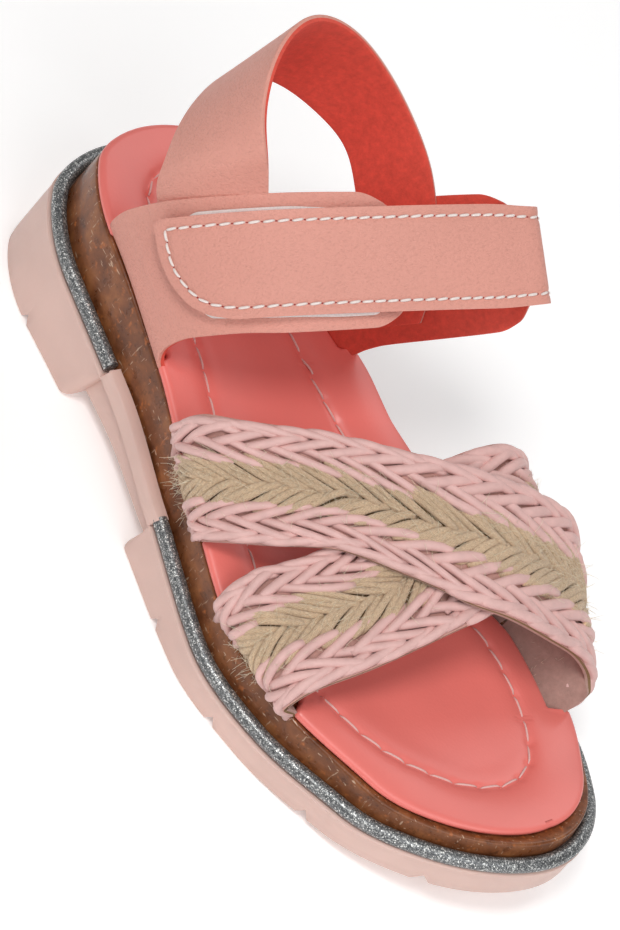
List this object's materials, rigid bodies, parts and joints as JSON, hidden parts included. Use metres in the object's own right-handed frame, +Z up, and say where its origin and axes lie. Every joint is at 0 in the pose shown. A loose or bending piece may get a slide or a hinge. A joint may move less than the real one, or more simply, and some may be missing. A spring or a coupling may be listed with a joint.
{
  "type": "orthopedic sandal",
  "caption": "Child's right sandal with crossing braided vamp straps, instep band, heel strap and cork wedge on a block outsole.",
  "frame": {"origin": "on the floor under the heel seat, 20 mm in front of the heel's back", "axes": "+X to the toe, +Y to the inner side of the foot, +Z up from the floor"},
  "size_m": [0.212, 0.0947, 0.1032],
  "materials": {
    "rubber": "satin pale pink",
    "glitter": "grey glitter",
    "cork": "varnished dark cork",
    "footbed": "smooth coral, low gloss",
    "braid": "waxed cord and jute",
    "leather": "fine grain, low gloss",
    "tape": "matt white"
  },
  "bodies": {
    "root": {"outsole": "rubber", "heel_piping": "glitter", "forefoot_piping": "glitter", "cork_midsole": "cork", "footbed": "footbed", "braided_vamp": "braid", "outer_quarter": "leather", "inner_quarter": "leather", "heel_strap": "leather", "hook_tape": "tape", "closure_strap": "leather"}
  },
  "joints": []
}
